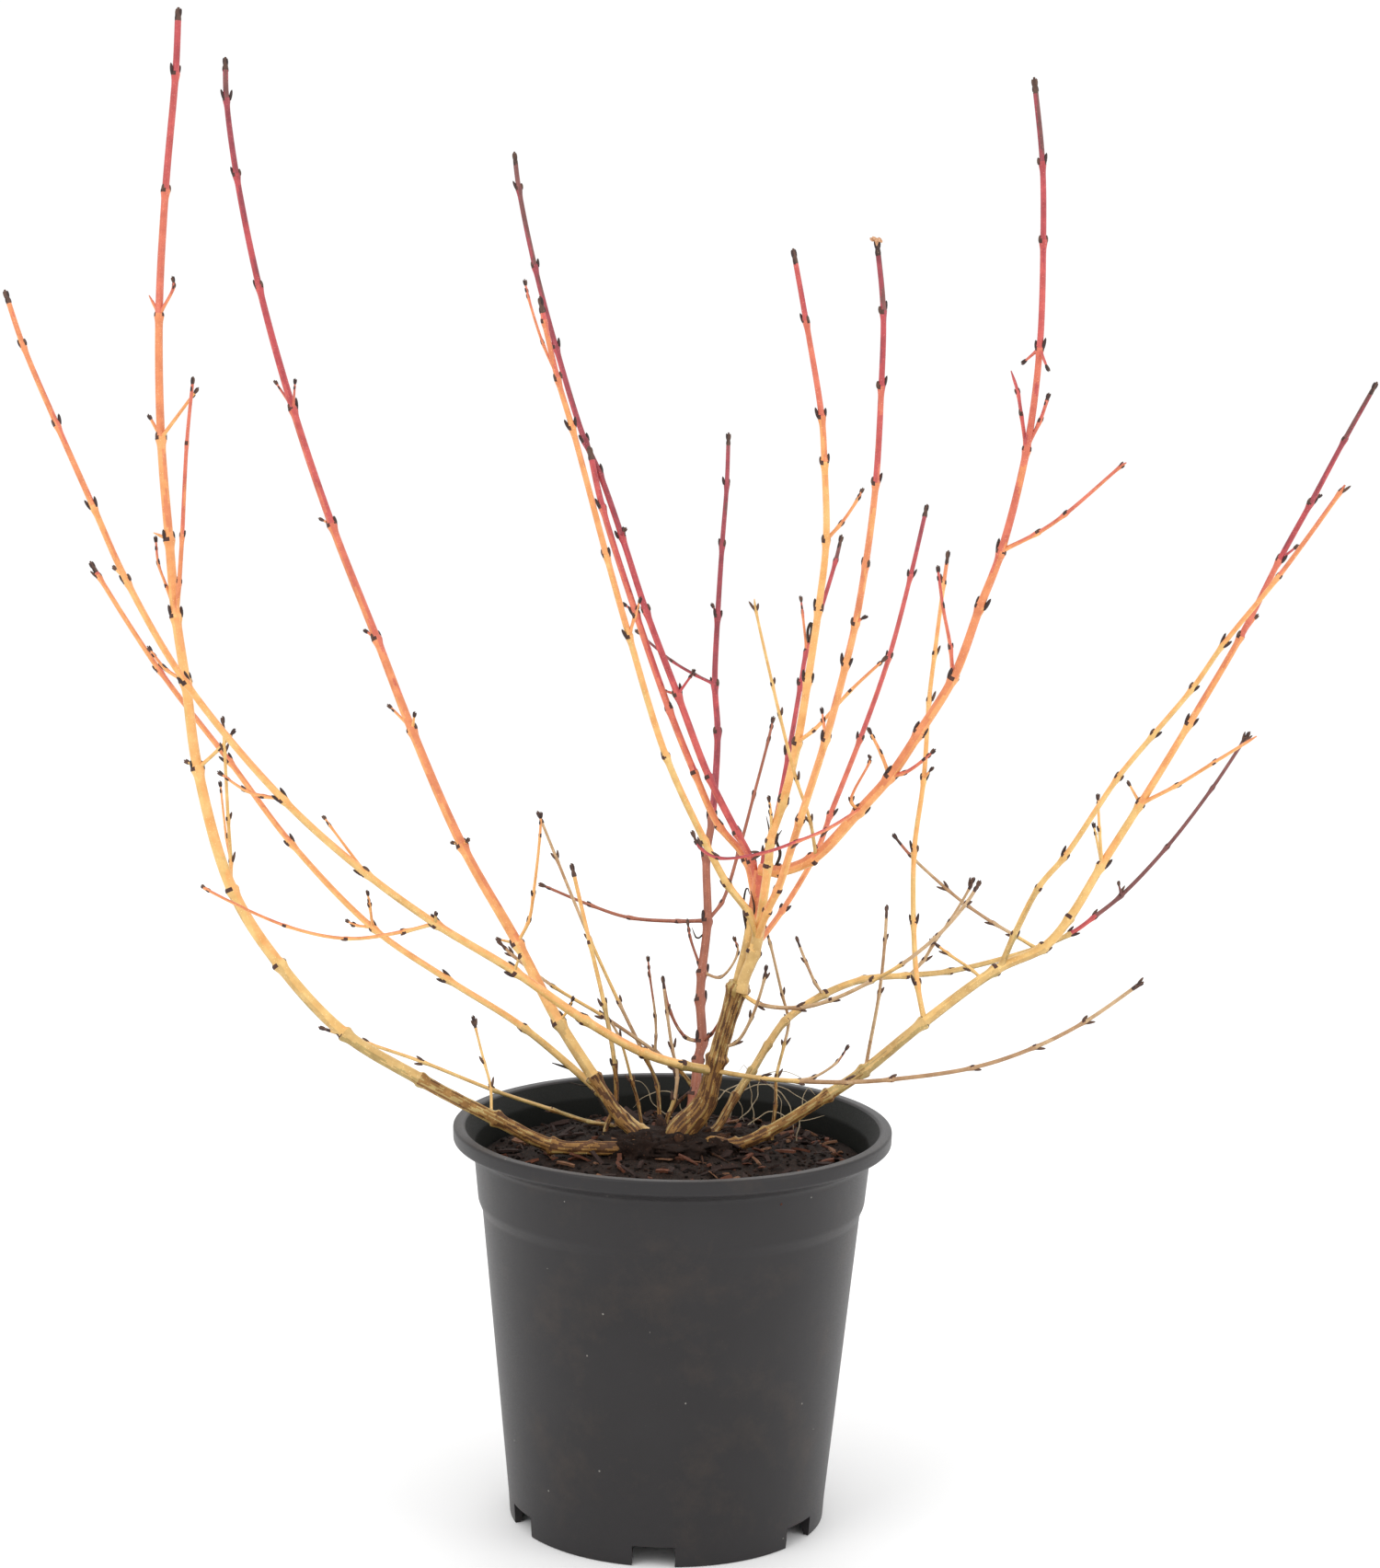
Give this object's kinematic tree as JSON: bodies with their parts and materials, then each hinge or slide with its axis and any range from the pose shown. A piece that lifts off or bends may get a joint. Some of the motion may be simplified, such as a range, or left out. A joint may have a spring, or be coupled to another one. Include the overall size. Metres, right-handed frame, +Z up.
{
  "type": "potted dogwood shrub",
  "caption": "Bare winter dogwood with arching yellow to crimson canes in a round black nursery pot.",
  "frame": {"origin": "on the ground under the middle of the whole plant's box; the pot's axis is about 6 mm to -X of it", "axes": "+Z up; the pictured side faces -Y; +X is to the right as seen from that side"},
  "size_m": [0.7206, 0.381, 0.8244],
  "materials": {
    "brown_cane": "smooth living bark, brown",
    "brown_twigs": null,
    "old_bark": "brown striated bark with golden streaks",
    "orange_cane": "smooth living bark, orange",
    "orange_twigs": null,
    "pot_plastic": "moulded black plastic with a soft sheen and a little dust",
    "potting_mix": null,
    "red_cane": "smooth living bark, red",
    "red_twigs": null,
    "yellow_cane": "smooth living bark, yellow",
    "yellow_twigs": null
  },
  "bodies": {
    "root": {"back_spire": "red_twigs", "centre_spire_bough": "orange_cane", "centre_spire_top": "orange_twigs", "cross_twig": "red_twigs", "crossing_sucker": "orange_twigs", "curled_sucker": "yellow_twigs", "curved_shoot": "red_twigs", "curved_whip": "yellow_twigs", "far_left_bough": "orange_cane", "far_left_top": "orange_twigs", "fine_sucker": "yellow_twigs", "forward_spire_bough": "orange_cane", "forward_spire_top": "orange_twigs", "front_spire_bough": "orange_cane", "front_spire_top": "orange_twigs", "hook_shoot": "yellow_twigs", "left_arch_low": "orange_cane", "left_arch_rise": "orange_cane", "left_arch_shoots": "yellow_twigs", "left_arch_spur": "yellow_twigs", "left_arch_top": "orange_twigs", "left_fork": "old_bark", "left_sucker": "yellow_twigs", "little_shoot": "yellow_twigs", "long_whip": "yellow_twigs", "low_left_bough": "red_cane", "low_left_top": "red_twigs", "low_right_bough": "brown_cane", "low_right_run": "brown_cane", "low_right_top": "brown_twigs", "middle_bough": "red_cane", "middle_top": "red_twigs", "orange_spire_bough": "orange_cane", "orange_spire_top": "orange_twigs", "outer_cane_bough": "yellow_cane", "outer_cane_top": "yellow_twigs", "outer_sucker": "yellow_twigs", "pale_shoot": "yellow_twigs", "pot": "pot_plastic", "reaching_shoot": "red_twigs", "red_spire_bough": "red_cane", "red_spire_top": "red_twigs", "right_arch_low": "red_cane", "right_arch_top": "red_twigs", "right_cane_low": "orange_cane", "right_cane_rise": "orange_cane", "right_cane_top": "orange_twigs", "right_fork": "old_bark", "right_sucker": "yellow_twigs", "rim_shoot": "yellow_twigs", "short_shoot": "yellow_twigs", "slim_spire": "red_twigs", "soil": "potting_mix", "tall_left_bough": "red_cane", "tall_left_top": "red_twigs", "trunk": "old_bark", "trunk_shoot": "orange_twigs", "upright_shoot": "orange_twigs"}
  },
  "joints": []
}
